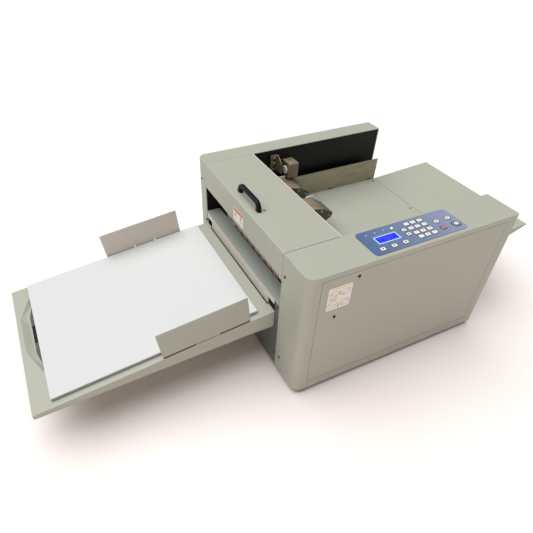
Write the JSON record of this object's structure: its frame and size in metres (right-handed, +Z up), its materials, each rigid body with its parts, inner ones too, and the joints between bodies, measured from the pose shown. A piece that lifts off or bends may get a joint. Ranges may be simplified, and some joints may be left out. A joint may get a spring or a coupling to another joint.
{
  "type": "sheet-fed paper creasing machine",
  "caption": "Tabletop sheet-fed paper finishing machine: low feed table between two side housings, lifting cover, keypad, sloping delivery tray with guides.",
  "frame": {"origin": "middle of the machine's footprint, tray and extension included, on the surface under its feet", "axes": "+X from the delivery tray towards the feed extension, +Y from the operator's keypad side to the back, +Z up"},
  "size_m": [1.1448, 0.4942, 0.3328],
  "materials": {
    "powder_coat": "fine matt powder coat, light grey-green",
    "black_coat": "matt black coat",
    "steel": "dull plated steel",
    "zinc_plate": "yellow zinc-plated steel",
    "rubber": "matt rubber",
    "black_plastic": "moulded, fine grain",
    "white_plastic": "moulded white",
    "red_plastic": "moulded red",
    "green_plastic": "moulded green with a white triangle",
    "panel_film": "printed polyester film, satin",
    "circuit_board": "green lacquered laminate",
    "paper": "plain white office paper"
  },
  "bodies": {
    "chassis": {"lower_casing": "powder_coat", "front_frame_plate": "powder_coat", "rear_frame_plate": "black_coat", "front_housing": "powder_coat", "rear_housing": "powder_coat", "access_plate": "powder_coat", "mains_inlet": "black_plastic", "exit_shelf": "powder_coat", "feed_table": "powder_coat", "side_lay_fence": "steel", "crease_anvil": "steel", "main_motor": "black_coat", "drive_belt": "rubber", "adjuster_block": "steel", "power_supply": "steel", "control_board": "circuit_board", "keypad_panel": "panel_film", "foot_front_left": "rubber", "foot_front_right": "rubber", "foot_rear_left": "rubber", "foot_rear_right": "rubber"},
    "cover": {"top_cover": "powder_coat", "cover_handle": "black_plastic"},
    "tray": {"delivery_tray": "powder_coat"},
    "tray_guide_front": {"tray_guide_front": "powder_coat"},
    "tray_guide_rear": {"tray_guide_rear": "powder_coat"},
    "sheets": {"paper_stack": "paper"},
    "extension": {"feed_extension": "powder_coat"},
    "rocker": {"rocker_switch": "black_plastic"},
    "upper_roller": {"upper_exit_roller": "rubber"},
    "lower_roller": {"lower_exit_roller": "steel"},
    "feed_shaft": {"feed_drive_shaft": "steel"},
    "motor_rotor": {"motor_pulley": "steel"},
    "blade": {"crease_blade": "steel"},
    "feed_arm_front": {"feed_arm_front": "zinc_plate"},
    "feed_arm_rear": {"feed_arm_rear": "zinc_plate"},
    "feed_wheel_front": {"feed_wheel_front": "rubber"},
    "feed_wheel_rear": {"feed_wheel_rear": "rubber"},
    "adjuster": {"adjuster_wheel": "white_plastic"},
    "menu_key_1": {"menu_key_1": "white_plastic"},
    "menu_key_2": {"menu_key_2": "white_plastic"},
    "menu_key_3": {"menu_key_3": "white_plastic"},
    "up_key": {"up_key": "white_plastic"},
    "down_key": {"down_key": "white_plastic"},
    "pad_key_1": {"pad_key_1": "white_plastic"},
    "pad_key_2": {"pad_key_2": "white_plastic"},
    "pad_key_3": {"pad_key_3": "white_plastic"},
    "pad_key_4": {"pad_key_4": "white_plastic"},
    "pad_key_5": {"pad_key_5": "white_plastic"},
    "pad_key_6": {"pad_key_6": "white_plastic"},
    "pad_key_7": {"pad_key_7": "white_plastic"},
    "pad_key_8": {"pad_key_8": "white_plastic"},
    "pad_key_9": {"pad_key_9": "white_plastic"},
    "pad_key_clear": {"pad_key_clear": "white_plastic"},
    "pad_key_0": {"pad_key_0": "white_plastic"},
    "pad_key_enter": {"pad_key_enter": "white_plastic"},
    "test_key": {"test_key": "white_plastic"},
    "mode_key": {"mode_key": "white_plastic"},
    "stop_key": {"stop_key": "red_plastic"},
    "start_key": {"start_key": "green_plastic"}
  },
  "joints": [
    {"name": "cover_hinge", "type": "hinge", "parent": "chassis", "child": "cover", "pos_m": [0.00418, 0.01785, 0.299], "axis": [0, 1, 0], "range_deg": [0, 88]},
    {"name": "tray_lift_off", "type": "slide", "parent": "chassis", "child": "tray", "axis": [0, 0, 1], "range_m": [0, 0.012]},
    {"name": "sheets_lift_off", "type": "slide", "parent": "tray", "child": "sheets", "axis": [0, 0, 1], "range_m": [0, 0.08]},
    {"name": "front_guide_slide", "type": "slide", "parent": "tray", "child": "tray_guide_front", "axis": [0, 1, 0], "range_m": [0, 0.009]},
    {"name": "rear_guide_slide", "type": "slide", "parent": "tray", "child": "tray_guide_rear", "axis": [0, 1, 0], "range_m": [-0.001, 0.003]},
    {"name": "extension_lift_off", "type": "slide", "parent": "chassis", "child": "extension", "axis": [0, 0, 1], "range_m": [0, 0.05]},
    {"name": "power_rocker", "type": "hinge", "parent": "chassis", "child": "rocker", "pos_m": [0.26918, 0.23885, 0.067], "axis": [1, 0, 0], "range_deg": [0, 16]},
    {"name": "motor_spin", "type": "hinge", "parent": "chassis", "child": "motor_rotor", "pos_m": [0.01418, 0.21585, 0.082], "axis": [0, 1, 0], "continuous": true},
    {"name": "upper_roller_spin", "type": "hinge", "parent": "chassis", "child": "upper_roller", "pos_m": [-0.06082, 0.01785, 0.2043], "axis": [0, 1, 0], "continuous": true},
    {"name": "lower_roller_spin", "type": "hinge", "parent": "chassis", "child": "lower_roller", "pos_m": [-0.06082, 0.01785, 0.182], "axis": [0, 1, 0], "continuous": true},
    {"name": "feed_shaft_spin", "type": "hinge", "parent": "chassis", "child": "feed_shaft", "pos_m": [0.04418, 0.01785, 0.224], "axis": [0, 1, 0], "continuous": true},
    {"name": "crease_stroke", "type": "slide", "parent": "chassis", "child": "blade", "axis": [0, 0, -1], "range_m": [0, 0.0035], "stiffness_N_per_m": 4000, "springref_m": -0.004},
    {"name": "feed_arm_front_lift", "type": "hinge", "parent": "chassis", "child": "feed_arm_front", "pos_m": [0.04418, 0.04885, 0.224], "axis": [0, -1, 0], "range_deg": [0, 5]},
    {"name": "feed_wheel_front_spin", "type": "hinge", "parent": "feed_arm_front", "child": "feed_wheel_front", "pos_m": [0.09918, 0.04885, 0.2045], "axis": [0, 1, 0], "continuous": true},
    {"name": "feed_arm_rear_lift", "type": "hinge", "parent": "chassis", "child": "feed_arm_rear", "pos_m": [0.04418, 0.15085, 0.224], "axis": [0, -1, 0], "range_deg": [0, 5]},
    {"name": "feed_wheel_rear_spin", "type": "hinge", "parent": "feed_arm_rear", "child": "feed_wheel_rear", "pos_m": [0.09918, 0.15085, 0.2045], "axis": [0, 1, 0], "continuous": true},
    {"name": "adjuster_turn", "type": "hinge", "parent": "chassis", "child": "adjuster", "pos_m": [0.09458, 0.18085, 0.264], "axis": [1, 0, 0], "range_deg": [-135, 135]},
    {"name": "menu_key_1_press", "type": "slide", "parent": "chassis", "child": "menu_key_1", "axis": [0, 0, -1], "range_m": [0, 0.001], "stiffness_N_per_m": 800, "springref_m": -0.0005},
    {"name": "menu_key_2_press", "type": "slide", "parent": "chassis", "child": "menu_key_2", "axis": [0, 0, -1], "range_m": [0, 0.001], "stiffness_N_per_m": 800, "springref_m": -0.0005},
    {"name": "menu_key_3_press", "type": "slide", "parent": "chassis", "child": "menu_key_3", "axis": [0, 0, -1], "range_m": [0, 0.001], "stiffness_N_per_m": 800, "springref_m": -0.0005},
    {"name": "up_key_press", "type": "slide", "parent": "chassis", "child": "up_key", "axis": [0, 0, -1], "range_m": [0, 0.001], "stiffness_N_per_m": 800, "springref_m": -0.0005},
    {"name": "down_key_press", "type": "slide", "parent": "chassis", "child": "down_key", "axis": [0, 0, -1], "range_m": [0, 0.001], "stiffness_N_per_m": 800, "springref_m": -0.0005},
    {"name": "pad_key_1_press", "type": "slide", "parent": "chassis", "child": "pad_key_1", "axis": [0, 0, -1], "range_m": [0, 0.001], "stiffness_N_per_m": 800, "springref_m": -0.0005},
    {"name": "pad_key_2_press", "type": "slide", "parent": "chassis", "child": "pad_key_2", "axis": [0, 0, -1], "range_m": [0, 0.001], "stiffness_N_per_m": 800, "springref_m": -0.0005},
    {"name": "pad_key_3_press", "type": "slide", "parent": "chassis", "child": "pad_key_3", "axis": [0, 0, -1], "range_m": [0, 0.001], "stiffness_N_per_m": 800, "springref_m": -0.0005},
    {"name": "pad_key_4_press", "type": "slide", "parent": "chassis", "child": "pad_key_4", "axis": [0, 0, -1], "range_m": [0, 0.001], "stiffness_N_per_m": 800, "springref_m": -0.0005},
    {"name": "pad_key_5_press", "type": "slide", "parent": "chassis", "child": "pad_key_5", "axis": [0, 0, -1], "range_m": [0, 0.001], "stiffness_N_per_m": 800, "springref_m": -0.0005},
    {"name": "pad_key_6_press", "type": "slide", "parent": "chassis", "child": "pad_key_6", "axis": [0, 0, -1], "range_m": [0, 0.001], "stiffness_N_per_m": 800, "springref_m": -0.0005},
    {"name": "pad_key_7_press", "type": "slide", "parent": "chassis", "child": "pad_key_7", "axis": [0, 0, -1], "range_m": [0, 0.001], "stiffness_N_per_m": 800, "springref_m": -0.0005},
    {"name": "pad_key_8_press", "type": "slide", "parent": "chassis", "child": "pad_key_8", "axis": [0, 0, -1], "range_m": [0, 0.001], "stiffness_N_per_m": 800, "springref_m": -0.0005},
    {"name": "pad_key_9_press", "type": "slide", "parent": "chassis", "child": "pad_key_9", "axis": [0, 0, -1], "range_m": [0, 0.001], "stiffness_N_per_m": 800, "springref_m": -0.0005},
    {"name": "pad_key_clear_press", "type": "slide", "parent": "chassis", "child": "pad_key_clear", "axis": [0, 0, -1], "range_m": [0, 0.001], "stiffness_N_per_m": 800, "springref_m": -0.0005},
    {"name": "pad_key_0_press", "type": "slide", "parent": "chassis", "child": "pad_key_0", "axis": [0, 0, -1], "range_m": [0, 0.001], "stiffness_N_per_m": 800, "springref_m": -0.0005},
    {"name": "pad_key_enter_press", "type": "slide", "parent": "chassis", "child": "pad_key_enter", "axis": [0, 0, -1], "range_m": [0, 0.001], "stiffness_N_per_m": 800, "springref_m": -0.0005},
    {"name": "test_key_press", "type": "slide", "parent": "chassis", "child": "test_key", "axis": [0, 0, -1], "range_m": [0, 0.001], "stiffness_N_per_m": 800, "springref_m": -0.0005},
    {"name": "mode_key_press", "type": "slide", "parent": "chassis", "child": "mode_key", "axis": [0, 0, -1], "range_m": [0, 0.001], "stiffness_N_per_m": 800, "springref_m": -0.0005},
    {"name": "stop_key_press", "type": "slide", "parent": "chassis", "child": "stop_key", "axis": [0, 0, -1], "range_m": [0, 0.001], "stiffness_N_per_m": 800, "springref_m": -0.0005},
    {"name": "start_key_press", "type": "slide", "parent": "chassis", "child": "start_key", "axis": [0, 0, -1], "range_m": [0, 0.001], "stiffness_N_per_m": 800, "springref_m": -0.0005}
  ],
  "couplings": [
    {"joint": "upper_roller_spin", "follows": "motor_spin", "ratio": 0.66667},
    {"joint": "lower_roller_spin", "follows": "motor_spin", "ratio": -0.8},
    {"joint": "feed_shaft_spin", "follows": "motor_spin", "ratio": 0.66667},
    {"joint": "feed_wheel_front_spin", "follows": "motor_spin", "ratio": 0.66667},
    {"joint": "feed_wheel_rear_spin", "follows": "motor_spin", "ratio": 0.66667}
  ]
}
